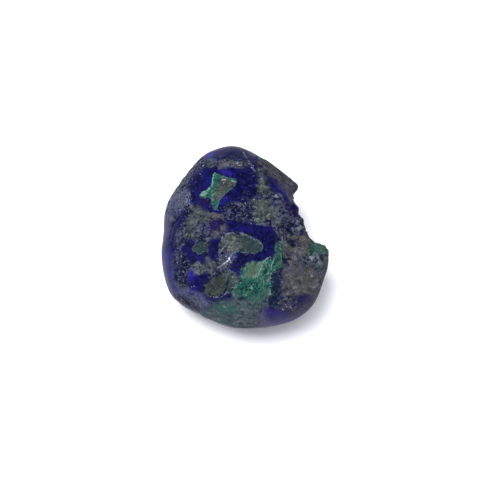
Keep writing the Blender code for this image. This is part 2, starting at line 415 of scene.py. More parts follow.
        (3.2, -8.8), (3.6, -9.8), (3.1, -11.6), (0.0, -13.1), (-3.1, -12.8), (-5.6, -11.2),
        (-7.2, -9.7),
    ], soft=0.6),
    "teal of the green side": Patch("malachite", 0.2, -1.0, 0.05, 0.0, [
        (-5.9, -8.6), (-4.4, -8.2), (-2.2, -8.6), (-1.6, -9.2), (-3.1, -9.7), (-5.3, -9.5),
    ], soft=0.7),
    "lobe": Patch("rock", 0.2, 0.35, 0.3, 0.0, [
        (4.8, 1.9), (6.2, 2.5), (7.8, 2.5), (9.1, 2.0), (10.2, 1.4), (12.8, 0.8), (12.8, -0.9),
        (11.7, -3.1), (11.1, -6.2), (10.3, -8.3), (7.8, -9.5), (5.6, -9.8), (4.5, -8.8),
        (4.7, -6.6), (4.8, -4.1), (5.2, -1.9), (4.8, 0.0),
    ], soft=0.3),
    "pale lumps": Patch("rock", 0.6, 0.0, 0.9, -0.05, [
        (5.0, 2.2), (6.1, 1.6), (5.8, 0.6), (4.8, 1.1),
    ]),
    "pink of the lobe": Patch("rock", 0.1, 0.8, 0.4, 0.0, [
        (7.8, 2.3), (9.5, 1.7), (9.4, 0.2), (8.0, 0.6),
    ], soft=0.5),
    # Darker ore sunk in the crease at the foot of the step; its darkness is painted shade.
    "painted shade in the crease of the lobe": Patch("ore", -0.9, 0.6, 0.5, 0.1, [
        (4.9, -0.9), (5.7, -0.9), (6.4, -1.3), (5.9, -1.9), (5.6, -2.8), (5.2, -4.2), (4.8, -3.0),
    ], soft=0.3),
    "dark of the lobe": Patch("ore", -0.9, 0.4, 0.6, 0.05, [
        (6.2, 1.6), (7.2, 1.4), (7.0, 0.6), (6.2, 0.6),
    ], soft=0.2),
    "green corner": Patch("malachite", 0.2, -0.9, 0.8, 0.0, [
        (9.7, 1.6), (10.9, 1.4), (12.8, 0.6), (12.7, -0.6), (11.7, -1.9), (10.9, -2.8),
        (10.0, -2.2), (9.7, -1.2), (9.2, -0.2),
    ]),
    "olive of the lobe": Patch("rock", 0.3, 0.35, 0.15, 0.0, [
        (5.6, -2.4), (6.9, -2.3), (8.4, -2.6), (9.2, -3.9), (8.9, -5.6), (8.0, -6.8), (6.4, -6.9),
        (5.4, -6.0), (5.2, -4.2),
    ], soft=0.4),
    "dark of the corner": Patch("malachite", -1.4, -0.5, 0.5, 0.0, [
        (9.3, 0.4), (9.9, 0.6), (10.1, -0.3), (9.7, -0.9), (9.2, -0.5),
    ]),
    "olive of the right": Patch("quartz", 0.2, 0.4, 0.5, 0.0, [
        (1.9, 7.0), (2.8, 7.5), (3.4, 6.6), (3.1, 5.2), (2.3, 5.6),
    ], soft=0.3),
    "navy of the right": Patch("ore", -0.1, 0.5, 0.6, 0.05, [
        (4.5, 7.0), (5.9, 7.2), (6.9, 6.2), (6.2, 5.6), (5.2, 5.9),
    ], soft=0.4),
    "dark folds": Patch("ore", -0.5, 0.2, 0.7, 0.1, [
        (5.2, 3.9), (6.2, 4.1), (7.2, 3.3), (6.6, 2.3), (5.3, 2.7),
    ], soft=0.2),
    # A painted sheen: paler lilac ore low on the green side.
    "painted sheen of the green side": Patch("ore", 0.3, 0.2, 0.0, 0.0, [
        (1.4, -9.6), (2.6, -8.9), (3.4, -9.4), (4.4, -11.4), (3.4, -12.6), (1.6, -12.4),
    ], soft=0.6),
    "blue streak": Patch("azurite", 0.15, 0.1, 0.1, 0.1, [
        (2.9, 11.0), (3.3, 11.2), (4.3, 10.4), (5.2, 9.5), (6.0, 8.5), (6.7, 7.6), (7.1, 6.8),
        (6.6, 6.6), (5.9, 7.1), (5.5, 7.7), (5.0, 8.4), (4.3, 8.9), (3.4, 9.5),
    ], soft=0.1),
    "dark end of the streak": Patch("azurite", -0.2, 0.2, 0.6, 0.0, [
        (6.0, 7.3), (6.7, 7.6), (7.4, 6.7), (7.5, 5.5), (6.8, 5.2), (6.2, 5.9), (5.8, 6.6),
    ], soft=0.45),
    "rest of the white lump": Patch("rock", 0.9, 0.0, 0.6, -0.05, [
        (3.8, 8.6), (4.5, 8.7), (4.7, 8.4), (4.4, 8.1), (3.9, 8.2),
    ], soft=0.1),
    "grey of the corner": Patch("rock", 0.3, -0.9, 0.7, 0.0, [
        (9.9, -0.5), (10.8, -0.8), (12.2, -0.5), (12.4, -1.6), (11.2, -3.2), (10.2, -2.6),
    ], soft=0.3),
    "pale of the corner": Patch("malachite", 1.2, -0.6, 0.5, 0.0, [
        (10.3, 0.6), (11.3, 0.4), (11.6, -0.4), (10.8, -0.6), (10.3, -0.2),
    ]),
    "edge of the corner": Patch("rock", 0.2, 0.3, 0.4, 0.0, [
        (11.6, -0.6), (12.4, -0.4), (12.5, -2.4), (11.9, -4.2), (11.2, -3.4), (11.4, -1.8),
    ], soft=0.3),
    "white chip": Patch("rock", 1.2, 0.0, 0.7, -0.05, [
        (9.1, -0.8), (9.8, -0.9), (9.7, -1.7), (9.1, -1.4),
    ]),
    # Paler violet azurite along the lower rim, partly a painted sheen.
    "lower rim of the lobe": Patch("azurite", 0.5, 0.6, 0.05, 0.0, [
        (2.8, -8.8), (4.4, -8.9), (6.2, -9.7), (8.4, -9.4), (10.3, -8.4), (10.3, -9.7),
        (7.8, -11.2), (4.7, -11.9), (2.8, -10.9),
    ], soft=0.5),
    "violet speckle of the lobe": Patch("ore", 0.1, 0.5, 0.7, 0.0, [
        (4.8, -7.3), (6.2, -7.0), (7.3, -7.7), (7.0, -8.9), (6.1, -9.5), (5.0, -9.1),
    ], soft=0.3),
    "polished violet": Patch("azurite", 0.0, 0.4, 0.0, 0.0, [
        (7.5, -7.3), (8.1, -7.0), (8.9, -7.0), (9.5, -7.5), (9.1, -8.1), (8.3, -8.4),
        (7.5, -9.1), (7.0, -8.9),
    ], soft=0.2),
    "blue beside the malachite": Patch("azurite", 0.1, -0.7, 0.9, 0.1, [
        (3.4, -3.2), (4.0, -3.0), (4.4, -3.9), (4.3, -4.7), (4.8, -5.4), (4.4, -6.3), (4.7, -7.3),
        (4.1, -8.0), (4.2, -8.8), (3.1, -8.9), (3.0, -7.6), (3.1, -6.5), (3.2, -5.0),
    ], soft=0.15),
    "malachite strip": Patch("malachite", -0.1, -0.2, 0.4, 0.0, [
        (3.9, 0.6), (4.4, 1.2), (4.8, 0.6), (5.0, -1.9), (4.5, -2.8), (3.9, -3.4), (3.3, -3.1),
        (3.4, -1.9), (3.8, -0.8),
    ]),
    "malachite": Patch("malachite", 0.35, 0.0, 0.4, -0.05, [
        (-0.9, -2.4), (0.2, -1.8), (1.2, -1.9), (2.2, -1.6), (3.2, -1.1), (3.5, -2.0), (3.3, -3.8),
        (3.0, -5.3), (2.9, -6.6), (2.4, -7.9), (0.9, -8.0), (-0.6, -7.6), (-2.0, -7.4),
        (-2.6, -6.3), (-2.2, -5.3), (-1.6, -4.7), (-1.5, -3.6),
    ], soft=0.1),
    "pale top of the malachite": Patch("malachite", 0.6, 0.9, 0.4, -0.05, [
        (-0.2, -1.9), (1.1, -2.0), (1.9, -2.7), (1.4, -3.9), (0.0, -4.1), (-0.5, -2.8),
    ], soft=0.3),
    "dark foot of the malachite": Patch("malachite", -0.9, 0.0, 0.4, 0.0, [
        (-1.4, -5.4), (-0.4, -5.0), (1.2, -5.4), (1.6, -6.2), (0.8, -7.0), (-0.6, -7.2),
        (-1.5, -6.4),
    ], soft=0.3),
    "green right of the malachite": Patch("malachite", 0.1, 0.0, 0.3, 0.0, [
        (2.0, -3.4), (3.0, -3.8), (2.8, -5.6), (1.9, -5.3),
    ]),
    "grey foot of the malachite": Patch("malachite", 0.1, -0.7, 0.4, 0.0, [
        (-1.9, -6.6), (-0.6, -7.0), (0.8, -6.9), (2.0, -6.2), (2.8, -6.6), (2.4, -7.8), (0.9, -8.0),
        (-0.8, -7.7), (-2.1, -7.3),
    ], soft=0.4),
}

# Cracks darkened with painted shade, each with its half width, its depth and the line that it
# follows, in mm.
CRACKS = {
    "rim": (0.14, 0.05, [(-9.4, 6.9), (-10.6, 5.2), (-11.9, 3.8), (-12.3, 1.6)]),
    "malachite": (0.16, 0.12, [(2.3, -3.7), (2.7, -2.8), (2.8, -2.2)]),
    "lobe": (0.16, 0.10, [(5.0, -1.2), (5.6, -1.4), (6.1, -1.3)]),
    "middle": (0.14, 0.08, [(-4.8, 4.8), (-4.7, 3.0)]),
    "under the white lump": (0.20, 0.15, [(3.7, 7.9), (4.6, 7.9)]),
    "streak": (0.14, 0.10, [(3.2, 9.4), (4.3, 8.6), (5.2, 7.2)]),
    "first of the cavity": (0.16, 0.10, [(-11.4, -7.2), (-11.0, -7.4), (-10.7, -7.7)]),
    "second of the cavity": (0.20, 0.14, [(-10.3, -7.8), (-9.7, -8.1), (-9.3, -8.6)]),
    "third of the cavity": (0.16, 0.12, [(-9.0, -8.6), (-8.2, -9.0), (-7.7, -9.5)]),
}

# Pale veins, rims and lone fibres, and painted highlights, each with its half width, its depth,
# which is less than 0 where it stands proud, its brightness and its line.
VEINS_AND_HIGHLIGHTS = {
    # The ridge below the eye stands proud; its white is a painted highlight.
    "ridge": (0.09, -0.12, 1.4, [(-5.0, -2.8), (-4.6, -2.6), (-4.2, -2.2), (-3.7, -2.0)]),
    "middle of the ridge": (0.11, -0.10, 1.8, [(-4.0, -2.2), (-3.7, -1.9), (-3.5, -1.85)]),
    "end of the ridge": (0.10, -0.10, 2.1, [(-3.5, -1.7), (-3.2, -1.6), (-3.15, -1.2)]),
    "upper fibre": (0.10, -0.05, 1.3, [(2.0, -1.9), (2.5, -1.4), (3.1, -1.1)]),
    "middle fibre": (0.09, -0.05, 1.2, [(3.2, -3.1), (3.4, -2.2), (3.8, -1.2)]),
    "lower fibre": (0.09, -0.05, 1.2, [(1.1, -4.2), (1.6, -3.1), (2.0, -2.0)]),
    "right of the strip": (0.08, -0.05, 1.1, [(4.7, 0.6), (4.8, -0.9), (4.7, -2.5)]),
    "star's left side": (0.10, 0.0, 1.3, [
        (-5.4, 11.9), (-5.75, 11.1), (-5.75, 10.3), (-6.4, 9.3), (-7.1, 9.0), (-7.6, 8.5),
    ]),
    "star's left tip": (0.24, 0.0, 1.2, [(-7.4, 8.5), (-6.9, 8.6)]),
    # The white on the star's right tip and its glint is a painted highlight.
    "star's right tip": (0.08, 0.0, 1.3, [(-2.8, 10.7), (-2.2, 10.5)]),
    "star's glint": (0.09, 0.0, 1.8, [(-4.4, 10.9), (-3.8, 10.9)]),
    "eye's top": (0.09, 0.0, 1.0, [
        (-4.5, 1.6), (-3.9, 2.3), (-3.0, 2.7), (-1.9, 2.7), (-0.6, 2.3), (0.6, 1.6), (1.6, 0.9),
    ]),
    "foot of the lower glass": (0.09, 0.0, 1.0, [
        (-6.1, -7.2), (-5.0, -7.3), (-4.1, -7.0), (-3.5, -6.4),
    ]),
    "first of the eye": (0.08, 0.0, 0.8, [(-4.4, 0.0), (-3.7, 0.8), (-3.4, 1.7)]),
    "second of the eye": (0.08, 0.0, 0.7, [(-3.7, -0.3), (-3.0, 0.6), (-2.5, 1.7), (-1.9, 2.3)]),
    "third of the eye": (0.07, 0.0, 0.6, [(-2.4, -0.1), (-1.4, 0.6), (-0.6, 1.8)]),
    "side of the malachite": (0.08, -0.04, 0.9, [
        (3.1, -3.8), (3.0, -5.2), (3.1, -6.6), (2.7, -7.8),
    ]),
    "crest seam": (0.16, 0.0, 0.75, [
        (-1.0, 15.1), (-0.5, 14.1), (-0.1, 13.5), (0.4, 12.6), (0.8, 12.0),
    ]),
    "left seam": (0.09, 0.0, 1.2, [(-9.2, 8.8), (-9.7, 7.7), (-10.0, 6.9)]),
}

# Single white specks of painted glint, pits darkened with painted shade, and chips off the right
# edge: right, above and radius in mm. A chip has its depth too, which is less than 0 where the
# edge stands proud.
PAINTED_GLINT_BRIGHTNESS = 1.5
PIT_DEPTH = 0.9  # of its radius
PAINTED_GLINT_SPOTS = [
    (-4.2, 0.2, 0.12), (-4.6, -0.2, 0.10), (-3.9, -0.4, 0.12), (-3.4, 0.0, 0.10),
    (-2.9, -1.0, 0.14), (-0.2, 13.2, 0.12), (0.2, 12.7, 0.12), (-0.6, 14.4, 0.10),
    (0.5, 12.9, 0.10), (-1.9, 13.4, 0.22), (9.5, -4.0, 0.22), (9.8, -5.7, 0.14), (0.3, -5.9, 0.2),
    (5.1, -9.2, 0.2), (6.2, -8.8, 0.2), (3.0, 5.4, 0.2), (-9.0, -5.7, 0.12), (-8.6, -5.6, 0.14),
    (-3.8, 10.8, 0.12), (-4.1, 10.3, 0.12), (-3.3, -1.4, 0.2), (0.5, -5.3, 0.14),
    (-10.6, -0.9, 0.14), (-11.2, -1.9, 0.12), (-10.2, -3.4, 0.14), (-11.1, -4.5, 0.14),
    (-3.0, -1.9, 0.14), (-2.5, -1.2, 0.14), (-4.4, -0.9, 0.14), (-3.7, -1.0, 0.12),
    (-3.0, -0.7, 0.14), (-2.3, -0.6, 0.12), (-4.1, -1.5, 0.12), (-4.7, -1.6, 0.10),
    (-5.2, -1.0, 0.10),
]
PITS = [
    (-0.4, 6.6, 0.3), (0.2, 5.6, 0.25), (-1.6, 6.2, 0.25), (5.2, 5.8, 0.35), (5.8, -6.0, 0.28),
    (9.5, -0.2, 0.2), (2.8, 6.0, 0.2),
]
CHIPS = [
    (7.3, 9.9, 0.8, -0.35), (6.9, 8.2, 0.8, 0.40), (7.2, 6.5, 0.9, -0.50), (7.7, 5.1, 1.0, -0.55),
    (8.4, 3.8, 0.8, -0.40),
]

OCTAVE_FADE = 0.9  # how much weaker each finer octave of noise is
OCTAVE_STEP = 2.1  # and how much finer


def wander(points, size, octaves, place):
    """Smooth noise from about -1 to 1, size millimetres from one swell to the next."""
    shift = Vector((place, -place, place))
    spots = [Vector(point) / size + shift for point in points]
    return np.array([noise.fractal(spot, OCTAVE_FADE, OCTAVE_STEP, octaves) for spot in spots])


class Layout:
    """For each mineral, how far inside its patches every point lies, and how each patch looks."""

    MINERALS = ("rock", "azurite", "quartz", "malachite")
    LOOKS = ("tone", "warmth", "grit", "sunk", "soft")
    FAR = 3.0  # mm, where a patch no longer counts
    FACE_EDGE = (0.15, 0.50)  # the sine of the skin's lean past edge-on where the broad face ends
    FACE_EDGE_WANDER = 0.2
    CRISP = 0.25  # mm over which the looks change, each side of a crisp edge
    SOFT_INSIDE = 0.3  # how much of a soft edge lies inside its outline

    def __init__(self, points, normals):
        rays = points - EYE
        depth = -(rays @ TOWARDS)
        self.across = rays @ ACROSS * CAMERA_DISTANCE / depth
        self.upward = rays @ UPWARD * CAMERA_DISTANCE / depth
        turned = (normals * rays).sum(1) / np.linalg.norm(rays, axis=1)
        turned += self.FACE_EDGE_WANDER * wander(points, size=2.6, octaves=3, place=21.0)
        self.hidden = smooth_step(turned, *self.FACE_EDGE)
        self.inside = {mineral: np.full(len(points), -self.FAR) for mineral in self.MINERALS}
        self.look = {name: np.zeros(len(points)) for name in self.LOOKS}

    def lay(self, inside, mineral, tone, warmth, grit, sunk=0.0, soft=0.0):
        """Puts a patch over what is there."""
        for other, reach in self.inside.items():
            if other == mineral:
                np.maximum(reach, inside, out=reach)
            else:
                np.minimum(reach, -inside, out=reach)
        share = smooth_step(inside, -self.CRISP - soft, self.CRISP + self.SOFT_INSIDE * soft)
        for name, value in zip(self.LOOKS, (tone, warmth, grit, sunk, soft)):
            self.look[name] += (value - self.look[name]) * share

    def lay_patch(self, patch):
        inside = self.inside_outline(patch.outline) - self.FAR * self.hidden
        looks = (patch.tone, patch.warmth, patch.grit, patch.sunk, patch.soft)
        self.lay(inside, patch.mineral, *looks)

    def from_line(self, line):
        """How far each point is seen from a line of points, up to FAR."""
        starts, ends = np.array(line[:-1]), np.array(line[1:])
        low, high = np.min(line, 0) - self.FAR, np.max(line, 0) + self.FAR
        near = (self.across > low[0]) & (self.across < high[0])
        near &= (self.upward > low[1]) & (self.upward < high[1])
        x = self.across[near, None] - starts[:, 0]
        y = self.upward[near, None] - starts[:, 1]
        run, rise = (ends - starts).T
        along = np.clip((x * run + y * rise) / (run**2 + rise**2), 0, 1)
        gap = np.full(len(self.across), self.FAR)
        gap[near] = np.hypot(x - along * run, y - along * rise).min(1)
        return np.minimum(gap, self.FAR)

    def inside_outline(self, outline):
        """How far inside a smooth outline each point is seen, and less than 0 outside it."""
        loop = smooth_line(outline, closed=True)
        gap = self.from_line(loop)
        odd = np.zeros(len(gap), bool)
        near = gap < self.FAR
        x, y = self.across[near], self.upward[near]
        crossed = np.zeros(near.sum(), bool)
        for (x0, y0), (x1, y1) in zip(loop[:-1], loop[1:]):
            if y0 != y1:
                crossed ^= ((y0 > y) != (y1 > y)) & (x < x0 + (y - y0) * (x1 - x0) / (y1 - y0))
        odd[near] = crossed
        return np.where(odd, gap, -gap)

    def closeness(self, gap, radius):
        """1 where the gap is 0, and 0 well over a radius away."""
        return np.exp(-((gap / radius) ** 2)) * (1 - self.hidden)

    def along_line(self, half_width, line):
        return self.closeness(self.from_line(smooth_line(line)), half_width)

    def on_spot(self, across, upward, radius):
        return self.closeness(np.hypot(self.across - across, self.upward - upward), radius)


LINE_STEPS = 6  # short straight pieces between two points of a line or an outline


def smooth_line(points, closed=False):
    """Points close together on a smooth curve through some."""
    points = list(points)
    if closed:
        points = [points[-1], *points, points[0], points[1]]
    else:
        points = [points[0], *points, points[-1]]
    found = []
    for before, start, end, after in zip(points, points[1:], points[2:], points[3:]):
        before, start, end, after = map(np.array, (before, start, end, after))
        for share in np.arange(LINE_STEPS) / LINE_STEPS:
            bend = 2 * before - 5 * start + 4 * end - after
            turn = 3 * start - before - 3 * end + after
            found.append(start + 0.5 * share * (end - before + share * (bend + share * turn)))
    return [*found, points[-2]]


USUAL_GRIT = 0.5  # where nothing is laid

layout = Layout(worn, worn_normals)
layout.look["grit"] += USUAL_GRIT

# Round the sides and underneath, the same minerals go on in rounded lumps.
LUMPS = 90
LUMP_SEED = 11
LUMP_SIZES = (0.9, 3.4)  # mm
LUMP_STRETCH = 0.8  # how much narrower one may be than it is long
LUMP_WOBBLE = 0.8  # of its size, how far its edge wanders
LUMP_SPREAD = (0.4, 0.4, 0.1)  # how far its tone, warmth and grit differ from those below
OUT_OF_SIGHT = 0.3  # how hidden its middle has to be
LUMP_MINERALS = {
    # mineral: (share, tone, warmth, grit)
    "azurite": (0.40, 0.1, 0.2, 0.2),
    "rock": (0.30, 0.2, 0.1, 0.5),
    "quartz": (0.16, 0.1, 0.0, 0.2),
    "malachite": (0.14, 0.1, 0.0, 0.3),
}

chooser = np.random.default_rng(LUMP_SEED)
out_of_sight = np.flatnonzero(layout.hidden > OUT_OF_SIGHT)
names = list(LUMP_MINERALS)
shares = [LUMP_MINERALS[name][0] for name in names]
wobble = wander(worn, size=1.6, octaves=4, place=31.0)
smallest, largest = LUMP_SIZES
for middle in worn[chooser.choice(out_of_sight, LUMPS)]:
    mineral = names[chooser.choice(len(names), p=shares)]
    size = smallest + (largest - smallest) * chooser.random() ** 2
    stretch = 1 + LUMP_STRETCH * chooser.random(3)
    reach = size - np.linalg.norm((worn - middle) * stretch, axis=1) + LUMP_WOBBLE * size * wobble
    looks = np.array(LUMP_MINERALS[mineral][1:]) + chooser.normal(0, LUMP_SPREAD)
    layout.lay(np.minimum(reach, layout.FAR * (2 * layout.hidden - 1)), mineral, *looks)

for patch in PATCHES.values():
    layout.lay_patch(patch)

crack_shade = np.zeros(len(worn))
vein_and_highlight = np.zeros(len(worn))
relief = -layout.look["sunk"]
# Cracks and pits are sunk into the skin; their darkening in the finish is painted shade.
for half_width, depth, line in CRACKS.values():
    share = layout.along_line(half_width, line)
    crack_shade = np.maximum(crack_shade, share)
    relief -= depth * share
for half_width, depth, brightness, line in VEINS_AND_HIGHLIGHTS.values():
    share = layout.along_line(half_width, line)
    vein_and_highlight = np.maximum(vein_and_highlight, brightness * share)
    relief -= depth * share
for across, upward, radius in PITS:
    share = layout.on_spot(across, upward, radius)
    crack_shade = np.maximum(crack_shade, share)
    relief -= PIT_DEPTH * radius * share
for across, upward, radius, depth in CHIPS:
    relief -= depth * layout.on_spot(across, upward, radius)
# White specks of painted glint.
for across, upward, radius in PAINTED_GLINT_SPOTS:
    share = layout.on_spot(across, upward, radius)
    vein_and_highlight = np.maximum(vein_and_highlight, PAINTED_GLINT_BRIGHTNESS * share)

# Rough places: crags where the stone broke, and a fine grit where the rock was plucked out. The
# worn skin swells and dips a little everywhere.
CRAG = 0.65  # mm
PLUCK = 0.34  # mm
SWELL = 0.10  # mm
GRITTY_CRAGS = 0.7  # how craggy the grittiest patch is, where 1 is the break
LEFT_STANDING = 0.2  # of PLUCK, how far the grit between the plucked places stands proud
# A plucked place also counts as a hollow, which the finish darkens with painted shade.
PLUCK_IN_CREST = 0.7  # how much a plucked place counts as low in the finish
BOX_SLACK = 0.1  # mm that the surface may stand out of the modelled box
RIDGE_OFFSET = 1.0
RIDGE_GAIN = 2.0


def ridges(points, size, octaves):
    """Sharp crests from about -1 to 1, size millimetres apart."""
    look = (OCTAVE_FADE, OCTAVE_STEP, octaves, RIDGE_OFFSET, RIDGE_GAIN)
    crests = [noise.ridged_multi_fractal(Vector(point) / size, *look) for point in points]
    return np.array(crests) - RIDGE_OFFSET


grit = np.maximum(layout.look["grit"], broken)
craggy = np.maximum(broken, GRITTY_CRAGS * smooth_step(layout.look["grit"], USUAL_GRIT, 1.0))
crags = ridges(worn, size=2.4, octaves=5)
plucks = wander(worn, size=0.9, octaves=4, place=7.0)
swells = wander(worn, size=3.4, octaves=2, place=13.0)
relief += CRAG * craggy * crags + SWELL * swells
relief -= PLUCK * grit * np.maximum(plucks, -LEFT_STANDING)
# High on crags and low in plucked hollows. The finish paints light on the crests and shade in the
# hollows by it.
crest = craggy * crags - PLUCK_IN_CREST * grit * plucks
lowest, highest = np.array(cad_low) / MM - BOX_SLACK, np.array(cad_high) / MM + BOX_SLACK
rough_points = np.clip(worn + worn_normals * relief[:, None], lowest, highest)

# What the finish reads at every point. The edges of the patches fray by the grit that was laid,
# without that of the break.
stone_values = {
    **layout.inside,
    "tone": layout.look["tone"],
    "warmth": layout.look["warmth"],
    "soft": layout.look["soft"],
    "fray": layout.look["grit"],
    "grit": grit,
    "crest": crest,
    "crack_shade": crack_shade,
    "vein_and_highlight": vein_and_highlight,
}
for name, values in stone_values.items():
    attribute = stone_mesh.attributes.new(name, "FLOAT", "POINT")
    attribute.data.foreach_set("value", values.astype(np.float32))

set_points(stone_mesh, rough_points * MM)
stone_mesh.shade_smooth()
stone = bpy.data.objects.new("stone", stone_mesh)
scene.collection.objects.link(stone)


# ---------------------------------------------------------------------------------------------
# Stone, its finish
# Tumbling gave the azurite, quartz and malachite a soft polish. The rock between them, and all
# that broke since, is dull and granular.


class Channel:
    """A socket of some nodes, used like a number."""

    def __init__(self, nodes, socket):
        self.nodes = nodes
        self.socket = socket

    def maths(self, operation, *values):
        return self.nodes.node("ShaderNodeMath", {"operation": operation}, dict(enumerate(values)))

    def beside(self, name):
        """Another output of the same node."""
        return Channel(self.nodes, self.socket.node.outputs[name])

    def __add__(self, other):
        return self.maths("ADD", self, other)

    __radd__ = __add__

    def __sub__(self, other):
        return self.maths("SUBTRACT", self, other)

    def __rsub__(self, other):
        return self.maths("SUBTRACT", other, self)

    def __mul__(self, other):
        return self.maths("MULTIPLY", self, other)

    __rmul__ = __mul__

    def __truediv__(self, other):
        return self.maths("DIVIDE", self, other)

    def __pow__(self, other):
        return self.maths("POWER", self, other)

    def __abs__(self):
        return self.maths("ABSOLUTE", self)

    def most(self, other):
        return self.maths("MAXIMUM", self, other)


class Nodes:
    """A tree of nodes."""

    def __init__(self, tree):
        self.tree = tree

    def fill(self, made, inputs):
        for key, value in inputs.items():
            if isinstance(value, Channel):
                self.tree.links.new(value.socket, made.inputs[key])
            elif isinstance(value, tuple) and made.inputs[key].type == "RGBA":
                made.inputs[key].default_value = (*value, 1.0)
            else:
                made.inputs[key].default_value = value

    def node(self, kind, settings, inputs, output=0):
        made = self.tree.nodes.new(kind)
        for key, value in settings.items():
            setattr(made, key, value)
        self.fill(made, inputs)
        return Channel(self, made.outputs[output])


class Finish(Nodes):
    """A material and the nodes that it is made of."""

    def __init__(self, name):
        self.material = bpy.data.materials.new(name)
        self.material.use_nodes = True
        super().__init__(self.material.node_tree)
        self.shader = self.tree.nodes["Principled BSDF"]

    def mix(self, share, first, second):
        settings = {"data_type": "RGBA", "clamp_factor": True}
        return self.node("ShaderNodeMix", settings, {0: share, 6: first, 7: second}, 2)

    def layered(self, colour, *layers):
        """A colour with others laid over it in turn, each by its share."""
        for share, over in layers:
            colour = self.mix(share, colour, over)
        return colour

    def attribute(self, name):
        return self.node("ShaderNodeAttribute", {"attribute_name": name}, {}, "Fac")

    def step(self, value, low, high):
        """0 below low and 1 above high, smoothly."""
        inputs = {"Value": value, "From Min": low, "From Max": high}
        return self.node("ShaderNodeMapRange", {"interpolation_type": "SMOOTHSTEP"}, inputs)

    def cloud(self, place, scale, detail, roughness=0.6, distortion=0.0):
        """Noise from 0 to 1. Scale is in cycles per millimetre."""
        inputs = {"Vector": place, "Scale": scale, "Detail": detail, "Roughness": roughness}
        inputs["Distortion"] = distortion
        return self.node("ShaderNodeTexNoise", {}, inputs)

    def stretched(self, place, heading, scale):
        """Places drawn out along a heading."""
        inputs = {"Vector": place, "Rotation": (0.0, 0.0, heading), "Scale": scale}
        return self.node("ShaderNodeMapping", {"vector_type": "TEXTURE"}, inputs)

    def cells(self, place, scale, output):
        return self.node("ShaderNodeTexVoronoi", {}, {"Vector": place, "Scale": scale}, output)


POLISH_ROUGHNESS = 0.46
GRIT_DEPTH = 0.16 * MM  # of the finest grit, shown by the bump alone
GRAINS_TO_A_MM = 3.6
CHIPS_TO_A_MM = 1.7
DOTS_TO_A_MM = 3.5
BEND = 0.8  # mm that the edges between grains are bent by
FIBRE_HEADING = math.radians(62)  # malachite's fibres run towards the near left
BED_HEADING = math.radians(-6)  # the green rock is laid down in thin beds

finish = Finish("azurite and malachite")
object_place = finish.node("ShaderNodeTexCoord", {}, {}, "Object")
inputs = {0: object_place, "Scale": 1 / MM}
place = finish.node("ShaderNodeVectorMath", {"operation": "SCALE"}, inputs)
# The crest reading paints light on the crests and shade in the hollows of the relief.
tone, warmth, grit_here, crack_shade_here, vein_and_highlight_here, crest_light_and_hollow_shade = (
    finish.attribute(name) for name in ("tone", "warmth", "grit", "crack_shade", "vein_and_highlight", "crest")
)
warm = finish.step(warmth, 0.0, 1.0)
cool = finish.step(warmth * -1, 0.0, 1.0)

inputs = {"Vector": place, "Scale": 1.6, "Detail": 5.0}
swirl = finish.node("ShaderNodeTexNoise", {}, inputs, "Color")
inputs = {0: swirl, 1: (BEND,) * 3, 2: place}
bent = finish.node("ShaderNodeVectorMath", {"operation": "MULTIPLY_ADD"}, inputs)
speckle = finish.cloud(place, scale=3.4, detail=4.0, roughness=0.65, distortion=0.4)
fine = finish.cloud(bent, scale=5.6, detail=3.0)
cloudy = finish.cloud(place, scale=0.7, detail=6.0, distortion=1.2)
drift = finish.cloud(place, scale=1.3, detail=5.0, roughness=0.62, distortion=0.8)
hue = finish.cloud(bent, scale=0.5, detail=5.0, distortion=0.8)
broad = finish.cloud(place, scale=0.9, detail=6.0, roughness=0.66)
along_fibres = finish.stretched(bent, FIBRE_HEADING, scale=(2.4, 0.55, 0.8))
fibres = finish.cloud(along_fibres, scale=1.5, detail=4.0, roughness=0.62, distortion=0.3)
along_beds = finish.stretched(bent, BED_HEADING, scale=(3.0, 0.35, 0.35))
beds = finish.cloud(along_beds, scale=0.9, detail=4.0, roughness=0.62, distortion=0.3)


def chance(scale):
    """A number from 0 to 1 for every grain. Scale is in grains per millimetre."""
    colour = finish.cells(bent, scale, "Color")
    return finish.node("ShaderNodeSeparateColor", {}, {0: colour}, "Red")


grains = chance(GRAINS_TO_A_MM)
chips = chance(CHIPS_TO_A_MM)
from_dot = finish.cells(bent, DOTS_TO_A_MM, "Distance") + (fine - 0.5) * 0.9
dots = 1 - finish.step(from_dot, 0.20, 0.44)
dot_chance = chance(DOTS_TO_A_MM)
pale_dots = dots * finish.step(dot_chance, 0.68, 0.74)
dark_dots = dots * (1 - finish.step(dot_chance, 0.24, 0.30))
# The rarest dots are painted glints.
painted_glints = dots * finish.step(dot_chance, 0.955, 0.965)
texture = grains * 0.35 + chips * 0.25 + speckle * 0.9 + fine * 0.5 - 1.0  # about -0.4 to 0.4

# Where each mineral is. Its edge is jagged, and frays more where the stone is gritty.
fray = 0.20 + finish.attribute("fray") * 1.2
jag = (drift + cloudy - 1.0) * 1.8 + (chips - 0.5) * 0.50 + (grains - 0.5) * 0.30
jag = ((broad - 0.5) * 2.4 + jag) * fray
azurite_edge = finish.attribute("azurite") + jag
quartz_edge = finish.attribute("quartz") + jag
malachite_edge = finish.attribute("malachite") + jag
rock_edge = finish.attribute("rock") + jag + texture * 0.9
soft = finish.attribute("soft") + 0.05
is_rock = finish.step(rock_edge, soft * -1 - 0.10, soft + 0.10)
is_azurite = finish.step(azurite_edge + texture * grit_here * 1.3, soft * -1, soft)
is_quartz = finish.step(quartz_edge, soft * -1, soft)
is_malachite = finish.step(malachite_edge + texture * grit_here, soft * -1, soft)

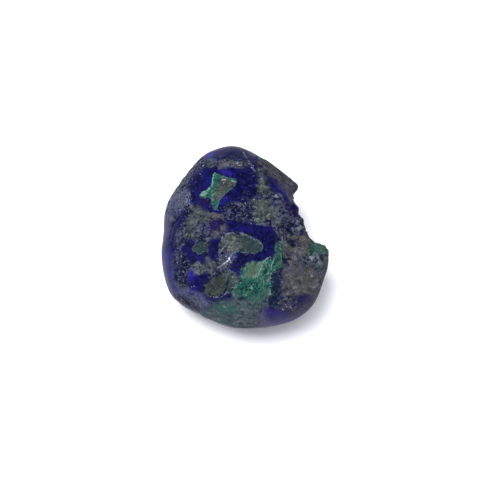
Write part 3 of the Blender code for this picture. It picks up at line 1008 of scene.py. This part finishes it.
DEEP_BLUE = (0.0010, 0.0014, 0.0170)
BLUE = (0.0034, 0.0034, 0.060)
BRIGHT_BLUE = (0.0070, 0.0052, 0.150)
VIOLET = (0.0122, 0.0076, 0.057)
TEAL_BLUE = (0.0038, 0.0137, 0.0274)
BLUE_PALE_DOT = (0.050, 0.060, 0.125)
BLUE_DARK_DOT = (0.0008, 0.0008, 0.0061)
blue = finish.layered(
    DEEP_BLUE,
    (finish.step(drift + texture * grit_here * 0.5 + tone * 0.12, 0.40, 0.58), BLUE),
    (finish.step(cloudy + (hue - 0.5) * 0.6 + tone * 0.42, 0.62, 0.92), BRIGHT_BLUE),
    (warm * 0.7, VIOLET),
    (cool, TEAL_BLUE),
    (pale_dots * (grit_here * 0.8), BLUE_PALE_DOT),
    (dark_dots * grit_here, BLUE_DARK_DOT),
)

# Ore is azurite and rock in one fine mixture. Where it is polished it is paler lilac, a painted
# sheen.
ORE_GREY = (0.050, 0.056, 0.085)
ORE_GREEN = (0.0228, 0.044, 0.046)
ORE_BROWN = (0.056, 0.049, 0.052)
ORE_LILAC_SHEEN = (0.058, 0.060, 0.135)
ORE_NAVY = (0.0026, 0.0032, 0.0170)
ORE_DARK_DOT = (0.0015, 0.0015, 0.0091)
ORE_PALE_DOT = (0.110, 0.122, 0.150)
ore_grey = finish.layered(
    ORE_GREY,
    (finish.step(cloudy, 0.48, 0.60) * 0.7, ORE_GREEN),
    (warm * 0.7, ORE_BROWN),
    ((1 - finish.step(grit_here, 0.05, 0.30)) * 0.8, ORE_LILAC_SHEEN),
)
# Paler on crests and darker in hollows: painted light and shade of the relief.
ore_share = texture * (0.4 + grit_here * 1.2) + crest_light_and_hollow_shade * 0.25 + tone * 0.20
ore = finish.layered(
    blue,
    (0.55, ORE_NAVY),
    (finish.step(ore_share, -0.12, 0.22), ore_grey),
    (dark_dots * 0.55, ORE_DARK_DOT),
    (pale_dots * (0.2 + grit_here * (0.2 + tone.most(0.0) * 0.6)), ORE_PALE_DOT),
)

ROCK_DARK = (0.0076, 0.0084, 0.0230)
ROCK_GREY = (0.042, 0.044, 0.062)
ROCK_OLIVE = (0.045, 0.048, 0.041)
ROCK_GREEN = (0.026, 0.044, 0.042)
ROCK_BROWN = (0.058, 0.052, 0.045)
ROCK_TEAL = (0.036, 0.062, 0.067)
ROCK_PALE = (0.105, 0.112, 0.128)
ROCK_SAND = (0.098, 0.092, 0.083)
ROCK_WHITE = (0.182, 0.198, 0.236)
ROCK_DARK_DOT = (0.0038, 0.0038, 0.0106)
ROCK_PALE_DOT = (0.129, 0.137, 0.160)
# The rock too is paler on crests and darker in hollows, painted light and shade of the relief.
rock_share = texture * (0.35 + grit_here) + crest_light_and_hollow_shade * 0.7 + (drift - 0.5) * 1.5 + tone * 0.24
rock_share = rock_share + (beds - 0.5) * cool * 1.6
rock_hue = finish.layered(
    ROCK_GREY,
    (finish.step(hue, 0.46, 0.58), ROCK_OLIVE),
    (finish.step(cloudy - warm * 0.2, 0.50, 0.60) * 0.7, ROCK_GREEN),
    (warm * 0.6, ROCK_BROWN),
    (cool * 0.75, ROCK_TEAL),
)
rock = finish.layered(
    ROCK_DARK,
    (finish.step(rock_share, -0.36, 0.10), rock_hue),
    (finish.step(rock_share, 0.12, 0.48), finish.mix(warm, ROCK_PALE, ROCK_SAND)),
    (finish.step(tone + texture * 1.2, 0.6, 1.2), ROCK_WHITE),
    (dark_dots * 0.45, ROCK_DARK_DOT),
    (pale_dots * 0.16, ROCK_PALE_DOT),
)

QUARTZ_DARK = (0.0106, 0.0167, 0.0198)
QUARTZ_GREY = (0.038, 0.049, 0.047)
QUARTZ_BROWN = (0.038, 0.0365, 0.0304)
QUARTZ_TEAL = (0.0122, 0.0274, 0.0334)
QUARTZ_PALE = (0.080, 0.095, 0.087)
QUARTZ_DARK_DOT = (0.0076, 0.0106, 0.0152)
QUARTZ_PALE_DOT = (0.122, 0.137, 0.137)
quartz_share = texture * 1.1 + (drift - 0.5) * 2.2 + tone * 0.25
quartz = finish.layered(
    QUARTZ_DARK,
    (finish.step(quartz_share, -0.40, 0.10), QUARTZ_GREY),
    (warm * 0.6, QUARTZ_BROWN),
    (cool * 0.6, QUARTZ_TEAL),
    (finish.step(quartz_share, 0.10, 0.50), QUARTZ_PALE),
    (dark_dots * 0.35, QUARTZ_DARK_DOT),
    (pale_dots * 0.30, QUARTZ_PALE_DOT),
)

GREEN_DARK = (0.0010, 0.0120, 0.0180)
GREEN = (0.0022, 0.0580, 0.0400)
GREEN_GREY = (0.042, 0.078, 0.066)
GREEN_PALE = (0.110, 0.165, 0.142)
GREEN_OLIVE = (0.068, 0.091, 0.056)
GREEN_TEAL = (0.0258, 0.050, 0.053)
GREEN_DARK_DOT = (0.0015, 0.0076, 0.0182)
GREEN_PALE_DOT = (0.152, 0.213, 0.190)
green_share = texture * 0.7 + (fibres - 0.5) * 2.2 + (drift - 0.5) * 0.8 + tone * 0.22
green = finish.layered(
    GREEN_DARK,
    (finish.step(green_share, -0.44, -0.10), GREEN),
    (finish.step(green_share + (hue - 0.5) * 1.6, -0.04, 0.30), GREEN_GREY),
    (finish.step(green_share, 0.22, 0.56), GREEN_PALE),
    (warm * 0.5, GREEN_OLIVE),
    (cool * 0.5, GREEN_TEAL),
    (dark_dots * 0.4, GREEN_DARK_DOT),
    (pale_dots * 0.3, GREEN_PALE_DOT),
)

# A thin pale rim runs here and there between azurite and what is beside it.
RIM_TEAL = (0.076, 0.167, 0.175)
near_rim = 1 - finish.step(abs(azurite_edge - 0.02), 0.02, 0.10)
other_rim = 1 - finish.step(abs(quartz_edge.most(malachite_edge) + 0.02), 0.02, 0.12)
rim = near_rim * other_rim * finish.step(cloudy + (fine - 0.5), 0.38, 0.54)

# The brightest lines and specks turn white: pale veins, painted highlights and painted glints.
VEIN_GREY = (0.10, 0.12, 0.17)
VEIN_GREEN = (0.10, 0.21, 0.17)
VEIN_AND_HIGHLIGHT_WHITE = (0.75, 0.78, 0.84)
vein_and_highlight_colour = finish.layered(
    VEIN_GREY,
    (finish.step(malachite_edge, -0.3, 0.1), VEIN_GREEN),
    (finish.step(vein_and_highlight_here, 1.0, 2.2), VEIN_AND_HIGHLIGHT_WHITE),
)
broken_up = finish.step(fine + speckle + vein_and_highlight_here * 0.2, 0.95, 1.25)
vein_and_highlight_share = finish.step(vein_and_highlight_here * (fine * 2.4 - 0.2) + texture * 1.3, 0.45, 0.80) * broken_up

CRACK_SHADE = (0.0020, 0.0022, 0.0090)
PAINTED_GLINT = (0.26, 0.29, 0.34)
colour = finish.layered(
    ore,
    (is_rock, rock),
    (is_azurite, blue),
    (is_quartz, quartz),
    (is_malachite, green),
    (rim * 0.8, RIM_TEAL),
    (vein_and_highlight_share, vein_and_highlight_colour),
    # Painted shade darkens the cracks and pits.
    (finish.step(crack_shade_here + texture * 0.9, 0.45, 0.80) * 0.85, CRACK_SHADE),
    (painted_glints * (0.10 + grit_here * 0.4), PAINTED_GLINT),
)

rough = POLISH_ROUGHNESS + grit_here * 0.13 + is_rock * 0.35 + texture * grit_here * 0.3
height = (speckle + fine * 0.5 + grains * 0.1) * (0.03 + grit_here * 0.9)
height = height + pale_dots * grit_here * 0.25
inputs = {"Height": height, "Strength": 1.0, "Distance": GRIT_DEPTH}
bumped = finish.node("ShaderNodeBump", {}, inputs, "Normal")
inputs = {"Base Color": colour, "Roughness": rough, "IOR": 1.25, "Normal": bumped}
finish.fill(finish.shader, inputs)
stone_mesh.materials.append(finish.material)

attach(stone, "root")
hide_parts("azurite_malachite_stone")


# ---------------------------------------------------------------------------------------------
# Quartz grains
# Where the rock broke and in its pits, small clear grains of quartz stand out of the stone.
# They are part of it and show as pale flecks; the brightest few are painted glints.


class Growth(Nodes):
    """Nodes that grow small shapes all over a surface. Its settings are named inputs."""

    def __init__(self, name, settings):
        super().__init__(bpy.data.node_groups.new(name, "GeometryNodeTree"))
        face = self.tree.interface
        face.new_socket("Surface", in_out="INPUT", socket_type="NodeSocketGeometry")
        face.new_socket("Grown", in_out="OUTPUT", socket_type="NodeSocketGeometry")
        self.settings = {}
        for label, value in settings.items():
            kind = "NodeSocketInt" if isinstance(value, int) else "NodeSocketFloat"
            socket = face.new_socket(label, in_out="INPUT", socket_type=kind)
            self.settings[socket.identifier] = value
        entry = self.tree.nodes.new("NodeGroupInput")
        self.surface = Channel(self, entry.outputs["Surface"])
        self.inputs = {label: Channel(self, entry.outputs[label]) for label in settings}

    def attribute(self, name):
        settings = {"data_type": "FLOAT"}
        return self.node("GeometryNodeInputNamedAttribute", settings, {"Name": name}, "Attribute")

    def spots(self):
        """Where the shapes stand: as many to the square millimetre as the attribute says."""
        density = self.attribute("spots") * self.inputs["spots per square mm"] / MM**2
        inputs = {"Mesh": self.surface, "Density": density, "Seed": self.inputs["seed"]}
        return self.node("GeometryNodeDistributePointsOnFaces", {}, inputs, "Points")

    def chance(self, low, high, seed):
        """A number between low and high, or three numbers, for each shape."""
        three = isinstance(low, tuple)
        settings = {"data_type": "FLOAT_VECTOR" if three else "FLOAT"}
        inputs = {0: low, 1: high} if three else {2: low, 3: high}
        inputs["Seed"] = self.inputs["seed"] + seed
        return self.node("FunctionNodeRandomValue", settings, inputs, 0 if three else 1)

    def size_between(self, low, high):
        """A size for each shape between two settings, more often near the lower."""
        low, high = self.inputs[low] * MM, self.inputs[high] * MM
        return low + (high - low) * self.chance(0.0, 1.0, seed=1) ** 2.0

    def settled(self, name, spots, shape, turn, size, finish, base):
        """The shapes at their spots, as one plain mesh on an object of their own."""
        inputs = {"Points": spots, "Instance": shape, "Rotation": turn, "Scale": size}
        placed = self.node("GeometryNodeInstanceOnPoints", {}, inputs)
        inputs = {"Geometry": placed, "Name": "shade", "Value": self.chance(0.0, 1.0, seed=5)}
        settings = {"data_type": "FLOAT", "domain": "INSTANCE"}
        shaded = self.node("GeometryNodeStoreNamedAttribute", settings, inputs)
        plain = self.node("GeometryNodeRealizeInstances", {}, {"Geometry": shaded})
        inputs = {"Geometry": plain, "Material": finish.material}
        covered = self.node("GeometryNodeSetMaterial", {}, inputs)
        leave = self.tree.nodes.new("NodeGroupOutput")
        self.tree.links.new(covered.socket, leave.inputs["Grown"])
        piece = bpy.data.objects.new(name, base)
        scene.collection.objects.link(piece)
        growth = piece.modifiers.new(name, "NODES")
        growth.node_group = self.tree
        for identifier, value in self.settings.items():
            growth[identifier] = value
        graph = bpy.context.evaluated_depsgraph_get()
        made = bpy.data.meshes.new_from_object(piece.evaluated_get(graph))
        piece.modifiers.remove(growth)
        piece.data = made
        return piece


def grown_finish(name, dark, pale, bright, bright_shades, roughness, ior):
    """A finish whose colour differs from one shape to the next, and a few shapes are bright."""
    made = Finish(name)
    shade = made.attribute("shade")
    bright_share = made.step(shade, *bright_shades)
    shaded = made.layered(dark, (shade, pale), (bright_share, bright))
    made.fill(made.shader, {"Base Color": shaded, "Roughness": roughness, "IOR": ior})
    return made


def with_spots(mesh, spots):
    """A copy of the surface, with where things grow on it."""
    copy = mesh.copy()
    attribute = copy.attributes.new("spots", "FLOAT", "POINT")
    attribute.data.foreach_set("value", np.clip(spots, 0, None).astype(np.float32))
    return copy


BREAK_GRAINS = 0.6  # grains on the crests of the break, in times the number set below
GRAIN_PLACES = {
    # patch: grains there, in the same measure
    "sparkle under the eye": 3.0,
    "dark oval": 2.5,
    "violet speckle of the lobe": 2.5,
    "pits": 3.0,
    "white chip": 4.0,
    "lower left cavity": 1.0,
    "dark of the cavity": 4.0,
    "speckled rim": 4.0,
    "pale shoulder": 5.0,
    "mottled middle": 1.5,
    "slate right side": 2.0,
    "pale side of the eye": 2.0,
    "pale crust": 1.5,
}
grain_spots = BREAK_GRAINS * broken * smooth_step(crest, 0.0, 0.6)
for name, share in GRAIN_PLACES.items():
    inside = layout.inside_outline(PATCHES[name].outline)
    here = share * smooth_step(inside, -0.4, 0.3) * (1 - layout.hidden)
    grain_spots = np.maximum(grain_spots, here * smooth_step(plucks, -0.6, 0.3))

clear = grown_finish(
    "quartz grains",
    dark=(0.05, 0.06, 0.11),
    pale=(0.19, 0.21, 0.27),
    # The brightest few grains are painted glints.
    bright=(0.50, 0.52, 0.58),
    bright_shades=(0.90, 0.98),
    roughness=0.25,
    ior=1.45,
)
grains_settings = {
    "spots per square mm": 3.0,
    "smallest, mm": 0.02,
    "largest, mm": 0.08,
    "seed": 3,
}
growth = Growth("quartz grains", grains_settings)
spots = growth.spots()
stretch = growth.chance((0.6,) * 3, (1.4,) * 3, seed=2)
inputs = {0: stretch, "Scale": growth.size_between("smallest, mm", "largest, mm")}
size = growth.node("ShaderNodeVectorMath", {"operation": "SCALE"}, inputs)
turn = growth.chance((0.0,) * 3, (math.tau,) * 3, seed=3)
nugget = growth.node("GeometryNodeMeshIcoSphere", {}, {"Radius": 1.0, "Subdivisions": 1})
grains_piece = growth.settled(
    "quartz_grains", spots, nugget, turn, size, clear, with_spots(stone_mesh, grain_spots)
)
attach(grains_piece, "root")


# ---------------------------------------------------------------------------------------------
# Malachite fibres
# The green malachite is a mat of fine needles that lie along its surface. Tumbling broke most
# of them off, and those that are left are paler than what is under them.

POLISHED_FIBRES = 0.05  # fibres left where it is polished, in times the number set below
GRITTY_FIBRES = 1.4  # how many more there are where it is craggy

fibre_spots = POLISHED_FIBRES + GRITTY_FIBRES * layout.look["grit"]
fibre_spots = fibre_spots * smooth_step(layout.inside["malachite"], -0.15, 0.25)

silky = grown_finish(
    "malachite fibres",
    dark=(0.004, 0.050, 0.040),
    pale=(0.060, 0.110, 0.090),
    bright=(0.16, 0.24, 0.20),
    bright_shades=(0.80, 1.00),
    roughness=0.45,
    ior=1.35,
)
fibres_settings = {
    "spots per square mm": 14.0,
    "shortest, mm": 0.25,
    "longest, mm": 0.90,
    "thickness": 0.034,  # its radius, of its length
    "spread": 0.65,
    "heading": FIBRE_HEADING,
    "seed": 9,
}
growth = Growth("malachite fibres", fibres_settings)
spots = growth.spots()
inputs = {"Start": (-0.5, 0.0, -0.03), "Middle": (0.0, 0.06, 0.05), "End": (0.5, 0.0, -0.03)}
bow = growth.node("GeometryNodeCurveQuadraticBezier", {}, {"Resolution": 4, **inputs})
along = growth.node("GeometryNodeSplineParameter", {}, {}, "Factor")
thin_ends = 1.05 - abs(along * 2 - 1) ** 2.0
bow = growth.node("GeometryNodeSetCurveRadius", {}, {"Curve": bow, "Radius": thin_ends})
inputs = {"Resolution": 4, "Radius": growth.inputs["thickness"]}
ring = growth.node("GeometryNodeCurvePrimitiveCircle", {}, inputs)
inputs = {"Curve": bow, "Profile Curve": ring, "Fill Caps": True}
needle = growth.node("GeometryNodeCurveToMesh", {}, inputs)
heading = growth.inputs["heading"] + growth.chance(-1.0, 1.0, seed=2) * growth.inputs["spread"]
twist = growth.node("ShaderNodeCombineXYZ", {}, {"Z": heading})
inputs = {"Rotation": spots.beside("Rotation"), "Rotate By": twist}
turn = growth.node("FunctionNodeRotateRotation", {"rotation_space": "LOCAL"}, inputs)
size = growth.size_between("shortest, mm", "longest, mm")
fibres_piece = growth.settled(
    "malachite_fibres", spots, needle, turn, size, silky, with_spots(stone_mesh, fibre_spots)
)
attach(fibres_piece, "root")


# ---------------------------------------------------------------------------------------------
# Bench and light
# A pale matt dish whose rim curves up all round, so that no horizon shows. A large soft lamp
# hangs at the upper left, and the dish throws its light back on the stone's sides.

DISH_RADIUS = 0.30  # metres, as all sizes here
DISH_CURVE = 0.07
DISH_SIDES = 96
CURVE_STEPS = 12
BENCH_PALE = (0.83, 0.835, 0.86)
BENCH_GREY = (0.32, 0.32, 0.34)
GREY_FROM, GREY_TO = 0.062, 0.115  # from the middle, where the bench turns from pale to grey

flat_radius = DISH_RADIUS - DISH_CURVE
bpy.ops.mesh.primitive_circle_add(vertices=DISH_SIDES, radius=flat_radius, fill_type="NGON")
bench = bpy.context.object
bench.name = "bench"
shape = bmesh.new()
shape.from_mesh(bench.data)
edge_loop = [edge for edge in shape.edges if edge.is_boundary]
for step in range(1, CURVE_STEPS + 1):
    angle = math.pi / 2 * step / CURVE_STEPS
    reach = flat_radius + DISH_CURVE * math.sin(angle)
    rise = DISH_CURVE * (1 - math.cos(angle))
    made = bmesh.ops.extrude_edge_only(shape, edges=edge_loop)["geom"]
    edge_loop = [piece for piece in made if isinstance(piece, bmesh.types.BMEdge)]
    for vertex in {vertex for edge in edge_loop for vertex in edge.verts}:
        heading = math.atan2(vertex.co.y, vertex.co.x)
        vertex.co = (reach * math.cos(heading), reach * math.sin(heading), rise)
bmesh.ops.recalc_face_normals(shape, faces=shape.faces)
shape.to_mesh(bench.data)
shape.free()
bench.data.shade_smooth()
pale = Finish("pale bench")
bench_place = pale.node("ShaderNodeTexCoord", {}, {}, "Object")
from_middle = pale.node("ShaderNodeVectorMath", {"operation": "LENGTH"}, {0: bench_place}, "Value")
bench_colour = pale.mix(pale.step(from_middle, GREY_FROM, GREY_TO), BENCH_PALE, BENCH_GREY)
pale.fill(pale.shader, {"Base Color": bench_colour, "Roughness": 0.9})
bench.data.materials.append(pale.material)

LAMPS = {
    # name: (place, side, power in watts)
    "lamp": ((-0.14, 0.01, 0.37), 0.28, 2.0),
    "fill": ((0.00, -0.09, 0.48), 0.70, 2.0),
}
for name, (spot, side, power) in LAMPS.items():
    lamp_data = bpy.data.lights.new(name, "AREA")
    lamp_data.size = side
    lamp_data.energy = power
    lamp = bpy.data.objects.new(name, lamp_data)
    lamp.location = spot
    lamp.rotation_euler = (-Vector(spot)).to_track_quat("-Z", "Y").to_euler()
    lamp.visible_glossy = False
    scene.collection.objects.link(lamp)

ROOM_LIGHT = (0.8, 0.82, 0.9, 1.0)
ROOM_STRENGTH = 0.65

room = bpy.data.worlds.new("room")
scene.world = room
room.use_nodes = True
room.node_tree.nodes["Background"].inputs["Color"].default_value = ROOM_LIGHT
room.node_tree.nodes["Background"].inputs["Strength"].default_value = ROOM_STRENGTH
room.cycles_visibility.glossy = False
